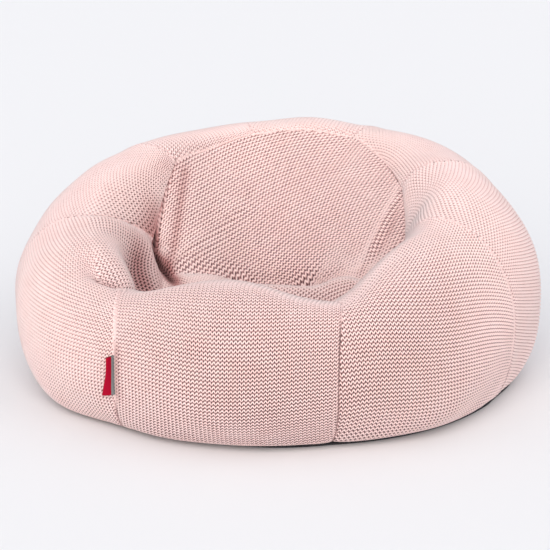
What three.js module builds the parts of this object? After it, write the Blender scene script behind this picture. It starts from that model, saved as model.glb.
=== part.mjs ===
/**
 * Knitted pouf seat. Eight filled gores stand in a ring round an octagonal panel, which is pushed in
 * as a seat and rises at the back as a rest. A dark cloth closes the underside, and a folded woven
 * label is caught in the front left seam.
 *
 * Millimetres, +Z up. The front faces -Y, and the origin is on the floor in the middle of the footprint.
 */
import * as THREE from 'three';

// Driving dimensions
const PIECE_GAP = 0.3;
const BASE_THICKNESS = 3;
const BASE_RIM = 2;
const SEAT_HEIGHT = 118;
const SEAT_CENTRE = new THREE.Vector2(0, -20);
const REST_SHARE = 0.69;
const REST_EASE = 1.25;
const REST_CROWN = 9;
const CORNER_FADE = 0.35;
const FOLD_FADE = 0.1;
const EDGE_WAVES = [1, 2, 3];
const SEAM_DEPTH = 3;
const SEAM_HALF_WIDTH = 9;
const CORNER_HALF_WIDTH = 16;
const LABEL = { height: 60, reach: 18, ply: 0.9, fold: 1.2, middleZ: 90, flare: 5, clear: 0.4 };

// How finely each form is stepped
const COLUMNS_PER_GORE = 16;
const COLUMN_CROWDING = 0.6;
const STEPS_PER_LEVEL = 10;
const WALL_STEPS = 3;
const PANEL_RINGS = 22;
const PANEL_MIDDLE = 0.88;
const LABEL_STEPS = 8;
const LABEL_FOLD_STEPS = 6;

// A section of the ring runs through four levels: base edge, girth, crest and the seam at the seat.
// Each has a radius and a height. Between them the cloth follows quarter ellipses.
const SIZE_COLUMNS = ['baseR', 'girthR', 'girthZ', 'crestR', 'crestZ', 'seatR', 'seatZ'];

// Seams, counter-clockwise from above, the front left one first. The azimuth at the girth is in degrees
// from the front towards +X, the turns say how far the seam strays from it at the other levels, and the
// last column says how deep the seam pulls in the corner of the seat.
const SEAMS = readTable(['azimuth', 'baseTurn', 'crestTurn', 'seatTurn', ...SIZE_COLUMNS, 'cornerDepth'], [
  [-36.8, -3.5, -10.5, -14, 316, 359, 104, 286, 181, 216, 112, 10],
  [13.6, 0, 4.5, 5, 310, 355, 110, 290, 188, 206, 116, 10],
  [61.5, 0, 0, 0, 322, 375, 120, 256, 260, 192, 146, 8],
  [118, 0, -5, -12, 318, 367, 143, 268, 292, 194, 256, 4],
  [146.5, 0, -1.5, 0, 313, 361, 150, 248, 316, 217, 306, 1],
  [190, 0, -0.5, 0, 313, 361, 150, 243, 313, 216, 303, 1],
  [228.5, 0, 0, 0, 319, 368, 143, 255, 297, 198, 280, 3],
  [273.5, 0, 2, 0, 323, 377, 128, 278, 244, 178, 146, 16],
]);

// Middles of the gores. Gore number n lies between seam n and the next one.
const GORES = readTable(['name', ...SIZE_COLUMNS], [
  ['front', 315, 370, 110, 264, 212, 180, 118],
  ['front_right', 319, 374, 115, 262, 241, 198, 118],
  ['right', 334, 386, 120, 260, 285, 190, 188],
  ['back_right', 325, 375, 150, 250, 309, 200, 279],
  ['back', 320, 371, 155, 237, 322, 212, 312],
  ['back_left', 325, 374, 155, 242, 307, 206, 287],
  ['left', 331, 374, 128, 256, 277, 188, 200],
  ['front_left', 334, 378, 116, 286, 237, 218, 124],
]);

// Soft folds of the seat panel in plan, raised where the height is above zero.
const PANEL_FOLDS = readTable(['name', 'startX', 'startY', 'endX', 'endY', 'halfWidth', 'height'], [
  ['left tuck', -141, 134, -144, 20, 12, -8],
  ['strip left of the tuck', -160, 110, -164, 20, 13, 6],
  ['slanting pull', -142, 10, -62, 112, 13, 5],
  ['end of the pull', -62, 112, -19, 150, 15, 2],
  ['dip beside the pull', -103, 30, -37, 125, 15, -4],
  ['right pull', 182, 72, 139, 4, 13, 7],
  ['right tuck', 182, 52, 146, -21, 13, -9],
  ['left part of the seat crease', -139, 4, -51, 38, 13, -8],
  ['middle of the seat crease', -51, 38, 45, 40, 13, -9],
  ['right part of the seat crease', 45, 40, 120, -40, 13, -8],
]);

const KNIT = { color: '#e9c8c3', roughness: 0.95, metalness: 0 };
const BASE_CLOTH = { color: '#2f2e33', roughness: 0.9, metalness: 0 };
const LABEL_WEAVE = { color: '#b02f42', roughness: 0.7, metalness: 0 };

const FLOOR_OF_GORES = BASE_THICKNESS + PIECE_GAP;

function readTable(columns, rows) {
  return rows.map((row) => Object.fromEntries(columns.map((name, i) => [name, row[i]])));
}

// Section across a gore: w is -1 on its first seam, 0 in its middle and 1 on its second seam.
function sectionAt(gore, w) {
  const first = SEAMS[gore];
  const second = SEAMS[(gore + 1) % SEAMS.length];
  const lap = second.azimuth < first.azimuth ? 360 : 0;
  const middle = GORES[gore];
  const section = { w, cornerDepth: w < 0 ? first.cornerDepth : second.cornerDepth };
  for (const name of ['azimuth', 'baseTurn', 'crestTurn', 'seatTurn']) {
    const end = second[name] + (name === 'azimuth' ? lap : 0);
    section[name] = THREE.MathUtils.lerp(first[name], end, (w + 1) / 2);
  }
  const puff = Math.cos(w * Math.PI / 2) ** 2;
  for (const name of SIZE_COLUMNS) {
    const straight = THREE.MathUtils.lerp(first[name], second[name], (w + 1) / 2);
    const mean = (first[name] + second[name]) / 2;
    section[name] = straight + (middle[name] - mean) * puff;
  }
  return section;
}

// Radius, height and azimuth of a section at a level from 0, the base edge, to 3, the seat seam.
function onSection(section, level) {
  const part = Math.min(Math.floor(level), 2);
  const along = level - part;
  const arc = along * Math.PI / 2;
  const ease = along * along * (3 - 2 * along);
  const { baseR, girthR, girthZ, crestR, crestZ, seatR, seatZ } = section;
  const { azimuth, baseTurn, crestTurn, seatTurn } = section;
  if (part === 0) {
    return {
      r: baseR + (girthR - baseR) * Math.sin(arc),
      z: FLOOR_OF_GORES + (girthZ - FLOOR_OF_GORES) * (1 - Math.cos(arc)),
      azimuth: azimuth + baseTurn * (1 - along) ** 2,
    };
  }
  if (part === 1) {
    return {
      r: crestR + (girthR - crestR) * Math.cos(arc),
      z: girthZ + (crestZ - girthZ) * Math.sin(arc),
      azimuth: azimuth + crestTurn * along ** 2,
    };
  }
  return {
    r: crestR - (crestR - seatR) * Math.sin(arc),
    z: crestZ - (crestZ - seatZ) * (1 - Math.cos(arc)),
    azimuth: azimuth + THREE.MathUtils.lerp(crestTurn, seatTurn, ease),
  };
}

// The sewn seam draws the cloth in towards the middle of the roll, most of all at a corner of the seat.
function drawIn(section, level, place) {
  const { lerp, smoothstep } = THREE.MathUtils;
  const coreR = (section.girthR + section.seatR) / 2;
  const coreZ = section.girthZ;
  const toCorner = smoothstep(level, 2, 3);
  const halfWidth = lerp(SEAM_HALF_WIDTH, CORNER_HALF_WIDTH, toCorner);
  const fullDepth = lerp(SEAM_DEPTH, section.cornerDepth, toCorner);
  const halfGore = Math.PI * place.r / GORES.length;
  const toSeam = (1 - Math.abs(section.w)) * halfGore / halfWidth;
  const depth = fullDepth * smoothstep(level, 0, 0.5) * Math.exp(-toSeam * toSeam);
  const reach = Math.hypot(place.r - coreR, place.z - coreZ);
  place.r -= depth * (place.r - coreR) / reach;
  place.z -= depth * (place.z - coreZ) / reach;
  return place;
}

function toPoint({ r, z, azimuth }) {
  const angle = THREE.MathUtils.degToRad(azimuth);
  return new THREE.Vector3(r * Math.sin(angle), -r * Math.cos(angle), z);
}

// Columns crowd towards the seams, where the cloth bends most.
function columnsAcross() {
  const steps = Array.from({ length: COLUMNS_PER_GORE + 1 }, (_, i) => 2 * i / COLUMNS_PER_GORE - 1);
  return steps.map((step) => THREE.MathUtils.lerp(step, Math.sin(step * Math.PI / 2), COLUMN_CROWDING));
}

// Closed outline of a gore at one column: up the outside, over the roll, down to the seat seam,
// down the hidden wall beside the seat panel and back along the floor.
function goreOutline(section) {
  const outline = [];
  const steps = 3 * STEPS_PER_LEVEL;
  for (let i = 0; i <= steps; i += 1) {
    const level = 3 * i / steps;
    outline.push(drawIn(section, level, onSection(section, level)));
  }
  const start = outline[0];
  const end = outline[steps];
  for (let i = 1; i <= WALL_STEPS; i += 1) {
    outline.push({ ...end, z: THREE.MathUtils.lerp(end.z, FLOOR_OF_GORES, i / WALL_STEPS) });
  }
  for (let i = 1; i < WALL_STEPS; i += 1) {
    const along = i / WALL_STEPS;
    outline.push({
      r: THREE.MathUtils.lerp(end.r, start.r, along),
      z: FLOOR_OF_GORES,
      azimuth: THREE.MathUtils.lerp(end.azimuth, start.azimuth, along),
    });
  }
  return outline;
}

// Half of the gap to the next gore is left free on each side.
function insetFromSeams(place, w) {
  const inset = THREE.MathUtils.radToDeg(PIECE_GAP / 2 / place.r);
  return { ...place, azimuth: place.azimuth - w * inset };
}

// Solid skinned over a row of closed loops, with flat outlines that say how to close its two ends.
function skinLoops(loops, firstOutline, lastOutline) {
  const count = loops[0].length;
  const positions = loops.flat().flatMap((point) => point.toArray());
  const faces = [];
  for (let row = 0; row + 1 < loops.length; row += 1) {
    for (let i = 0; i < count; i += 1) {
      const next = (i + 1) % count;
      const [a, b] = [row * count + i, row * count + next];
      faces.push([a, b, b + count], [a, b + count, a + count]);
    }
  }
  const lastStart = (loops.length - 1) * count;
  for (const [a, b, c] of closeOutline(firstOutline)) faces.push([a, c, b]);
  for (const [a, b, c] of closeOutline(lastOutline)) {
    faces.push([lastStart + a, lastStart + b, lastStart + c]);
  }
  return solidFromFaces(positions, faces);
}

function closeOutline(outline) {
  const turned = THREE.ShapeUtils.isClockWise(outline);
  const triangles = THREE.ShapeUtils.triangulateShape(outline, []);
  return turned ? triangles.map(([a, b, c]) => [a, c, b]) : triangles;
}

function solidFromFaces(positions, faces) {
  const geometry = new THREE.BufferGeometry();
  geometry.setAttribute('position', new THREE.Float32BufferAttribute(positions, 3));
  const inwards = volumeOf(positions, faces) < 0;
  const wound = inwards ? faces.map(([a, b, c]) => [a, c, b]) : faces;
  geometry.setIndex(wound.flat());
  geometry.computeVertexNormals();
  return geometry;
}

function volumeOf(positions, faces) {
  const at = (i) => new THREE.Vector3().fromArray(positions, 3 * i);
  return faces.reduce((sum, [a, b, c]) => sum + at(a).dot(at(b).cross(at(c))) / 6, 0);
}

function goreSolid(gore) {
  const outlines = columnsAcross().map((w) => ({ w, places: goreOutline(sectionAt(gore, w)) }));
  const loops = outlines.map(({ w, places }) => places.map((place) => toPoint(insetFromSeams(place, w))));
  const flat = ({ places }) => places.map(({ r, z }) => new THREE.Vector2(r, z));
  return skinLoops(loops, flat(outlines[0]), flat(outlines.at(-1)));
}

// The seat panel's edge about the middle of the seat, one point for each column of the gores that it
// is sewn to, with the rounder and smoother edge that it fades to inside.
function seatEdge() {
  const edge = [];
  GORES.forEach((_, gore) => {
    for (const w of columnsAcross().slice(0, -1)) {
      const section = sectionAt(gore, w);
      const end = drawIn(section, 3, onSection(section, 3));
      const point = toPoint({ ...end, r: end.r - PIECE_GAP });
      const arm = new THREE.Vector2(point.x, point.y).sub(SEAT_CENTRE);
      edge.push({ angle: arm.angle(), reach: arm.length(), z: point.z });
    }
  });
  const softReach = lowWaves(edge, 'reach');
  const softZ = lowWaves(edge, 'z');
  return edge.map((point, i) => ({ ...point, softReach: softReach[i], softZ: softZ[i] }));
}

// The mean and the longest waves round the edge, without the corners.
function lowWaves(edge, name) {
  const turn = 2 * Math.PI;
  const spans = edge.map(({ angle }, i) => {
    const before = edge.at(i - 1).angle;
    const after = edge[(i + 1) % edge.length].angle;
    return ((after - before + 2 * turn) % turn) / 2;
  });
  const share = (wave) => {
    const parts = edge.map((point, i) => point[name] * wave(point.angle) * spans[i]);
    return parts.reduce((sum, part) => sum + part, 0) / turn;
  };
  const mean = share(() => 1);
  const waves = EDGE_WAVES.map((n) => ({
    n,
    even: 2 * share((angle) => Math.cos(n * angle)),
    odd: 2 * share((angle) => Math.sin(n * angle)),
  }));
  return edge.map(({ angle }) => waves.reduce(
    (sum, { n, even, odd }) => sum + even * Math.cos(n * angle) + odd * Math.sin(n * angle),
    mean,
  ));
}

function foldLift(x, y) {
  let lift = 0;
  for (const { startX, startY, endX, endY, halfWidth, height } of PANEL_FOLDS) {
    const line = new THREE.Line3(new THREE.Vector3(startX, startY), new THREE.Vector3(endX, endY));
    const here = new THREE.Vector3(x, y);
    const along = line.closestPointToPointParameter(here, false);
    const off = line.at(along, new THREE.Vector3()).distanceTo(here) / halfWidth;
    const beyond = Math.max(-along, along - 1, 0) * line.distance() / (2 * halfWidth);
    lift += height * Math.exp(-off * off - beyond * beyond);
  }
  return lift;
}

// Point of the seat panel between its edge, at share 0, and the middle of the seat, at share 1.
function panelPoint(edge, share) {
  const soften = THREE.MathUtils.smoothstep(share, 0, CORNER_FADE);
  const reach = (1 - share) * THREE.MathUtils.lerp(edge.reach, edge.softReach, soften);
  const x = SEAT_CENTRE.x + reach * Math.cos(edge.angle);
  const y = SEAT_CENTRE.y + reach * Math.sin(edge.angle);
  const rise = THREE.MathUtils.lerp(edge.z, edge.softZ, soften) - SEAT_HEIGHT;
  const downRest = Math.min(share / REST_SHARE, 1);
  const crown = REST_CROWN * Math.sin(Math.PI * downRest) * rise / SEAT_HEIGHT;
  const inside = THREE.MathUtils.smoothstep(share, 0, FOLD_FADE);
  const z = SEAT_HEIGHT + rise * (1 - downRest) ** REST_EASE + crown + inside * foldLift(x, y);
  return new THREE.Vector3(x, y, z);
}

function seatPanelSolid() {
  const edge = seatEdge();
  const shares = Array.from({ length: PANEL_RINGS }, (_, i) => PANEL_MIDDLE * (i / (PANEL_RINGS - 1)) ** 1.2);
  const rings = shares.map((share) => edge.map((point) => panelPoint(point, share)));
  const foot = rings[0].map(({ x, y }) => new THREE.Vector3(x, y, FLOOR_OF_GORES));
  const loops = [foot, ...rings];
  const flat = (loop) => loop.map(({ x, y }) => new THREE.Vector2(x, y));
  return skinLoops(loops, flat(foot), flat(rings.at(-1)));
}

function basePanelSolid() {
  const outline = [];
  GORES.forEach((_, gore) => {
    for (const w of columnsAcross().slice(0, -1)) {
      const start = onSection(sectionAt(gore, w), 0);
      outline.push(toPoint({ ...start, r: start.r + BASE_RIM }));
    }
  });
  const shape = new THREE.Shape(outline.map(({ x, y }) => new THREE.Vector2(x, y)));
  const geometry = new THREE.ExtrudeGeometry(shape, { depth: BASE_THICKNESS, bevelEnabled: false });
  return geometry;
}

// The label is a woven ribbon folded once: two plies that meet in a round fold away from the seam.
function labelOutline(reach) {
  const outer = LABEL.ply + LABEL.fold / 2;
  const inner = LABEL.fold / 2;
  const turn = (radius, way) => Array.from({ length: LABEL_FOLD_STEPS + 1 }, (_, i) => {
    const angle = way * (Math.PI / 2 - Math.PI * i / LABEL_FOLD_STEPS);
    return new THREE.Vector2(reach - outer + radius * Math.cos(angle), radius * Math.sin(angle));
  });
  return [
    new THREE.Vector2(0, outer), ...turn(outer, 1), new THREE.Vector2(0, -outer),
    new THREE.Vector2(0, -inner), ...turn(inner, -1), new THREE.Vector2(0, inner),
  ];
}

// Label sections follow the front left seam upwards, and the lowest ones flare away from the front.
function sideLabelSolid() {
  const seam = sectionAt(0, -1);
  const loops = [];
  const outlines = [];
  for (let i = 0; i <= LABEL_STEPS; i += 1) {
    const share = i / LABEL_STEPS;
    const z = LABEL.middleZ + (share - 0.5) * LABEL.height;
    const place = seamPlaceAtHeight(seam, z);
    const outline = labelOutline(LABEL.reach);
    const flare = LABEL.flare * (1 - share) ** 2;
    outlines.push(outline);
    loops.push(outline.map(({ x: out, y: side }) => {
      const bend = flare * (out / LABEL.reach) ** 2;
      const r = place.r + LABEL.clear + out;
      const offset = THREE.MathUtils.radToDeg((side - bend) / r);
      return toPoint({ r, z, azimuth: place.azimuth + offset });
    }));
  }
  return skinLoops(loops, outlines[0], outlines.at(-1));
}

function seamPlaceAtHeight(seam, z) {
  let [low, high] = [0, 2];
  for (let i = 0; i < 40; i += 1) {
    const level = (low + high) / 2;
    const place = onSection(seam, level);
    if (place.z < z) low = level;
    else high = level;
  }
  return drawIn(seam, low, onSection(seam, low));
}

function piece(name, geometry, finish) {
  const mesh = new THREE.Mesh(geometry, new THREE.MeshStandardMaterial(finish));
  mesh.name = name;
  return mesh;
}

const pouf = new THREE.Group();
GORES.forEach(({ name }, gore) => pouf.add(piece(`gore_${name}`, goreSolid(gore), KNIT)));
pouf.add(piece('seat_panel', seatPanelSolid(), KNIT));
pouf.add(piece('base_panel', basePanelSolid(), BASE_CLOTH));
pouf.add(piece('side_label', sideLabelSolid(), LABEL_WEAVE));

// The middle of the footprint becomes the origin.
const middle = new THREE.Box3().setFromObject(pouf).getCenter(new THREE.Vector3());
pouf.position.set(-middle.x, -middle.y, 0);

export default pouf;
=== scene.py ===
# %% [markdown]
# # A knitted pouf seat
# The real thing is a low, round floor seat. Eight gores of chunky knit are sewn into a ring and
# filled, and a knitted panel closes the middle. Sitting has pushed that panel down, so the ring
# stands round it as arms and a rest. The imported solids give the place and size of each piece. This
# lesson lays the knitted cover over them, stitch by stitch.

# %% Load the frame
import math
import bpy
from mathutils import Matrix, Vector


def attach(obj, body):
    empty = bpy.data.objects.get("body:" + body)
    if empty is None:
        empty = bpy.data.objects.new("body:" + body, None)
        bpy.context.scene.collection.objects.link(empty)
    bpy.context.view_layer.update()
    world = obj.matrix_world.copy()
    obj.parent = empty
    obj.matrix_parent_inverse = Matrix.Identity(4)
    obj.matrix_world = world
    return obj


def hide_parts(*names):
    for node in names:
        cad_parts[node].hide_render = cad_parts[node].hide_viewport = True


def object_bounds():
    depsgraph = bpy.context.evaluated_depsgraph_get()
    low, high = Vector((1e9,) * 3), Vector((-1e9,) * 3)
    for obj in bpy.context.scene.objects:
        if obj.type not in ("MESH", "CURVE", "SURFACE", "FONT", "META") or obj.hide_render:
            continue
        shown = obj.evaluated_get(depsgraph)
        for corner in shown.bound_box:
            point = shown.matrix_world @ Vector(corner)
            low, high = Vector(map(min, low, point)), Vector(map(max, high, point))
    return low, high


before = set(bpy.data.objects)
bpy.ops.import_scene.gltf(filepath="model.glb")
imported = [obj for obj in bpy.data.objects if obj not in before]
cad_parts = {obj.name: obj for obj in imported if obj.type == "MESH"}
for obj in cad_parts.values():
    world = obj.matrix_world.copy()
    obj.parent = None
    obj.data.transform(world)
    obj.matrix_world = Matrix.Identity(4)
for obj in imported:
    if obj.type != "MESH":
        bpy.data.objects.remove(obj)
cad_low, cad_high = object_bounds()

from types import SimpleNamespace

import bpy
import numpy as np
from mathutils import Matrix, Vector

MM = 0.001
print("solid box in metres:", [round(b - a, 3) for a, b in zip(cad_low, cad_high)])

# %% [markdown]
# ## The form of the ring
# A gore is a strip of cloth between two seams. Cut through the ring and it shows a round section with
# four levels: the base edge, the girth where it is widest, the crest on top, and the seam at the seat.
# A quarter of an ellipse joins each level to the next, as filled cloth does by itself. Where the filling
# has slumped away from the seat, the inner wall is an easy slope instead. Sizes close to these drove the
# solids, and the cover was then matched to the photograph. All of them are in millimetres.

# %% Sizes of the seams and of the gores between them
SIZES = ["base_r", "girth_r", "girth_z", "crest_r", "crest_z", "seat_r", "seat_z", "slump"]
SEAM_COLUMNS = ["azimuth", "base_turn", "crest_turn", "seat_turn", *SIZES, "corner", "groove"]
SEAMS = [
    [-36.8, -3.5, -10.5, -14, 314, 359, 84, 286, 181, 216, 112, 0, 6, 2.2],
    [13.6, 0, 4.5, 5, 306, 355, 74, 290, 188, 206, 116, 0, 5, 1.8],
    [62.5, 0, 1, 1, 332, 375, 120, 256, 262, 192, 158, 0, 2, 0.7],
    [106, 0, -6, -2, 318, 369, 143, 252, 303, 191, 262, 0, 4, 1.2],
    [146.5, 0, -1.5, 0, 313, 361, 150, 248, 316, 217, 306, 0, 1, 1.5],
    [190, 0, -0.5, 0, 313, 361, 150, 243, 313, 216, 303, 0, 1, 1.5],
    [228.5, 0, 0, 0, 319, 368, 143, 255, 297, 198, 280, 0, 3, 1.2],
    [273.5, 0, 0, -18, 323, 377, 128, 276, 238, 182, 186, 0.4, 4, 0.7],
]
GORES = {
    "front": [308, 368, 80, 264, 212, 180, 118, 0],
    "front_right": [320, 374, 66, 262, 241, 198, 118, 0],
    "right": [344, 386, 120, 250, 287, 190, 196, 0.2],
    "back_right": [325, 373, 150, 250, 311, 200, 284, 0],
    "back": [320, 371, 155, 237, 322, 212, 312, 0],
    "back_left": [325, 374, 155, 242, 307, 206, 287, 0],
    "left": [331, 374, 128, 256, 277, 190, 232, 0.2],
    "front_left": [334, 378, 98, 276, 219, 166, 136, 0.4],
}
GORE_NAMES = list(GORES)
print(len(SEAMS), "seams and", len(GORES), "gores, with", len(SIZES), "sizes each")


# %% Cut through a gore
def smooth(x, low, high):
    """0 below low, 1 above high, and an even ease between them."""
    share = np.clip((x - low) / (high - low), 0, 1)
    return share * share * (3 - 2 * share)


def section(gore, w):
    """Sizes of the cut through a gore at w, which is -1 on its first seam and 1 on its second."""
    first = dict(zip(SEAM_COLUMNS, SEAMS[gore]))
    second = dict(zip(SEAM_COLUMNS, SEAMS[(gore + 1) % len(SEAMS)]))
    middle = dict(zip(SIZES, GORES[GORE_NAMES[gore]]))
    if second["azimuth"] < first["azimuth"]:
        second["azimuth"] += 360
    puff = np.cos(np.pi * w / 2) ** 2
    cut = {}
    for name in SEAM_COLUMNS:
        mean = (first[name] + second[name]) / 2
        cut[name] = mean + (second[name] - first[name]) / 2 * w + (middle.get(name, mean) - mean) * puff
    for name in ("corner", "groove"):
        cut[name] = np.where(w < 0, first[name], second[name])
    return cut


widest = [float(section(g, np.array(0.0))["girth_r"]) for g in range(len(SEAMS))]
print("at its girth the ring reaches", min(widest), "to", max(widest), "mm out")

# %% [markdown]
# The sewing thread pulls the cloth in along each seam. That groove ends below the crest, where the
# filling stretches the cover, and comes back at the corners of the seat. From the front round to the
# right the lower hem stands a few millimetres off the floor, and the dark base shows under it.

# %% Point on the cover
COVER_FLOOR = 3.3
SEAM_HALF_WIDTH = 4.0
CORNER_HALF_WIDTH = 14.0
# Levels between which the groove of a seam begins and ends.
GROOVE_STARTS = (0, 0.5)
GROOVE_ENDS = (1.4, 1.9)
# The lower hem stands off the floor between two places round the pouf, and up to a low level.
HEM_LIFT = 4.5
HEM_RISES = (-32, 4)
HEM_FALLS = (85, 105)
HEM_LEVELS = (0, 0.35)


def hem(azimuth):
    """1 where the lower hem stands off the floor, from the front round to the right, and 0 elsewhere."""
    return smooth(azimuth, *HEM_RISES) * (1 - smooth(azimuth, *HEM_FALLS))


def ring_point(gore, w, level):
    """Point of the smooth cover. The level runs from 0, the base edge, to 3, the seam at the seat."""
    c = section(gore, w)
    part = np.minimum(np.floor(level), 2)
    along = level - part
    sine, cosine = np.sin(along * np.pi / 2), np.cos(along * np.pi / 2)
    ease = along * along * (3 - 2 * along)
    r = np.choose(part.astype(int), [
        c["base_r"] + (c["girth_r"] - c["base_r"]) * sine,
        c["crest_r"] + (c["girth_r"] - c["crest_r"]) * cosine,
        c["crest_r"] - (c["crest_r"] - c["seat_r"]) * (sine + (along - sine) * c["slump"]),
    ])
    z = np.choose(part.astype(int), [
        COVER_FLOOR + (c["girth_z"] - COVER_FLOOR) * (1 - cosine),
        c["girth_z"] + (c["crest_z"] - c["girth_z"]) * sine,
        c["crest_z"] - (c["crest_z"] - c["seat_z"]) * (1 - cosine + (ease - 1 + cosine) * c["slump"]),
    ])
    turn = np.choose(part.astype(int), [
        c["base_turn"] * (1 - along) ** 2,
        c["crest_turn"] * along ** 2,
        c["crest_turn"] + (c["seat_turn"] - c["crest_turn"]) * ease,
    ])
    to_corner = smooth(level, 2, 3)
    half_width = SEAM_HALF_WIDTH + (CORNER_HALF_WIDTH - SEAM_HALF_WIDTH) * to_corner
    from_seam = (1 - np.abs(w)) * np.pi * r / len(SEAMS) / half_width
    depth = c["groove"] * (1 - smooth(level, *GROOVE_ENDS)) + c["corner"] * to_corner
    depth = depth * smooth(level, *GROOVE_STARTS) * np.exp(-from_seam ** 2)
    out_r, out_z = r - (c["girth_r"] + c["seat_r"]) / 2, z - c["girth_z"]
    reach = np.hypot(out_r, out_z)
    r, z = r - depth * out_r / reach, z - depth * out_z / reach
    z = z + HEM_LIFT * hem(c["azimuth"]) * (1 - smooth(level, *HEM_LEVELS))
    azimuth = np.radians(c["azimuth"] + turn)
    return np.stack([r * np.sin(azimuth), -r * np.cos(azimuth), z], axis=-1)


print("top of the back:", ring_point(GORE_NAMES.index("back"), np.array(0.0), np.array(2.0)).round())

# %% Middle of the ring
coarse_w, coarse_level = np.meshgrid(np.linspace(-1, 1, 65), np.linspace(0, 3, 181), indexing="ij")
ring = np.concatenate([ring_point(g, coarse_w, coarse_level).reshape(-1, 3) for g in range(len(SEAMS))])
own_middle = (ring.min(axis=0) + ring.max(axis=0)) / 2
cad_middle = (np.array(cad_low) + np.array(cad_high)) / 2 / MM
SHIFT = np.array([*(cad_middle - own_middle)[:2], 0])
print("the ring's own middle lies", SHIFT.round(1), "mm from the frame's")

# %% [markdown]
# ## The camera
# The photograph was taken from the front with a long lens, from a little above the seat. A long lens
# flattens depth, so its focal length matters as much as its place.

# %% Camera
EYE = np.array([0, -2671.9, 987.3])
AIM = np.array([0.6, 0, 142])
LENS = 125.3

camera = bpy.data.objects.new("camera", bpy.data.cameras.new("camera"))
camera.data.lens = LENS
camera.data.sensor_width = 36
camera.location = Vector((EYE + SHIFT) * MM)
camera.rotation_euler = Vector(AIM - EYE).to_track_quat("-Z", "Y").to_euler()
bpy.context.collection.objects.link(camera)
bpy.context.scene.camera = camera
print("camera at", [round(x, 3) for x in camera.location])

# %% [markdown]
# ## How the knit lies
# Seen close, the cover is plain stocking stitch in thick yarn. Each row shows as a zigzag ridge, and
# between two rows lie small dark holes at the bends. A texture could paint that, but the pale rims and
# the dark hollows of this pouf come mostly from real depth, with painted shade added in the holes. So
# the mesh itself follows the zigzag: one line of vertices runs along each ridge and two run along the gap
# below it, four columns to a stitch.

# %% Stitch sizes
STITCH_WIDTH = 5.7
ZIGZAG = 0.31
ROW_LINES = np.array([0, 0.35, 0.65])
COLUMNS = 4
# Height of the yarn, by line across the row and by column along the zigzag: peak, leg, trough, leg.
YARN_HEIGHT = np.array([
    [0.9, 1.2, 1.0, 1.2],
    [-2.5, -1.8, -2.3, -1.8],
    [-2.5, -1.8, -2.3, -1.8],
])
# Painted shade of each of those, from 0 on the ridge to 1 in the hole under a peak.
HOLE_SHADE_TABLE = np.array([
    [0, 0, 0, 0],
    [1, 0.42, 0.9, 0.42],
    [1, 0.42, 0.9, 0.42],
])
print("a stitch is", STITCH_WIDTH, "mm wide, and its hole", np.ptp(YARN_HEIGHT), "mm deep")

# %% [markdown]
# Filled cloth is never quite even. A few long waves with seeded phases stand for the loose filling,
# which settles into soft lumps. They fade out at the seams, which hold the cloth.

# %% Soft lumps of the filling
LUMP_HEIGHT = 1.3
LUMP_LENGTHS = [70, 95, 120, 160, 210]
LUMP_FADE = 30.0
rng = np.random.default_rng(7)
lump_ways = rng.normal(size=(len(LUMP_LENGTHS), 3))
lump_ways /= np.linalg.norm(lump_ways, axis=1, keepdims=True)
lump_phases = rng.uniform(0, 2 * np.pi, len(LUMP_LENGTHS))


def lumps(points):
    waves = [
        np.sin(2 * np.pi * (points @ way) / length + phase)
        for way, length, phase in zip(lump_ways, LUMP_LENGTHS, lump_phases)
    ]
    return LUMP_HEIGHT * sum(waves) / len(waves) ** 0.5


print("lumps up to", round(float(np.abs(lumps(ring)).max()), 1), "mm")


# %% [markdown]
# Folds are soft troughs or ridges along a short line. One function serves both the gores and the seat
# panel: it takes a table of folds and adds their heights up.

# %% Folds
def fold_lift(folds, x, y):
    """Each fold is start x, start y, end x, end y, half width and height."""
    lift = np.zeros_like(x)
    for x0, y0, x1, y1, half_width, height in folds:
        length = math.hypot(x1 - x0, y1 - y0)
        way_x, way_y = (x1 - x0) / length, (y1 - y0) / length
        along = (x - x0) * way_x + (y - y0) * way_y
        off = (y - y0) * way_x - (x - x0) * way_y
        beyond = np.maximum(np.maximum(-along, along - length), 0) / (2 * half_width)
        lift += height * np.exp(-(off / half_width) ** 2 - beyond ** 2)
    return lift


one_off = fold_lift([(0, 0, 10, 0, 5, 1)], np.array(5.0), np.array(5.0))
print("one half width off its line a fold keeps", round(float(one_off), 2), "of its height")


# %% [markdown]
# ## Building a knitted surface
# A knitted piece is a lattice: columns go across, lines go up, and each vertex is pushed along the
# cloth's normal by the height of the yarn there. What lies past the edge of the cloth is left out. A
# painted shade for the holes is kept on the mesh as an attribute, because holes between thick yarns look
# darker than the mesh's shallow ones make them, and a painted shade for folds beside it. A fan of faces
# behind the open edge makes the piece a closed one.

# %% Helpers for knitted meshes
def lattice_faces(columns, lines, inside):
    """Quads of a columns by lines lattice with at least one vertex inside."""
    index = np.arange(columns * lines).reshape(columns, lines)
    corners = [index[:-1, :-1], index[1:, :-1], index[1:, 1:], index[:-1, 1:]]
    quads = np.stack(corners, axis=-1).reshape(-1, 4)
    return quads[inside.reshape(-1)[quads].any(axis=1)]


def open_edges(quads, count):
    """Directed edges that only one face has."""
    edges = np.concatenate([quads[:, [k, (k + 1) % 4]] for k in range(4)])
    keys, back = edges[:, 0] * count + edges[:, 1], edges[:, 1] * count + edges[:, 0]
    return edges[~np.isin(keys, back)]


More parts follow.
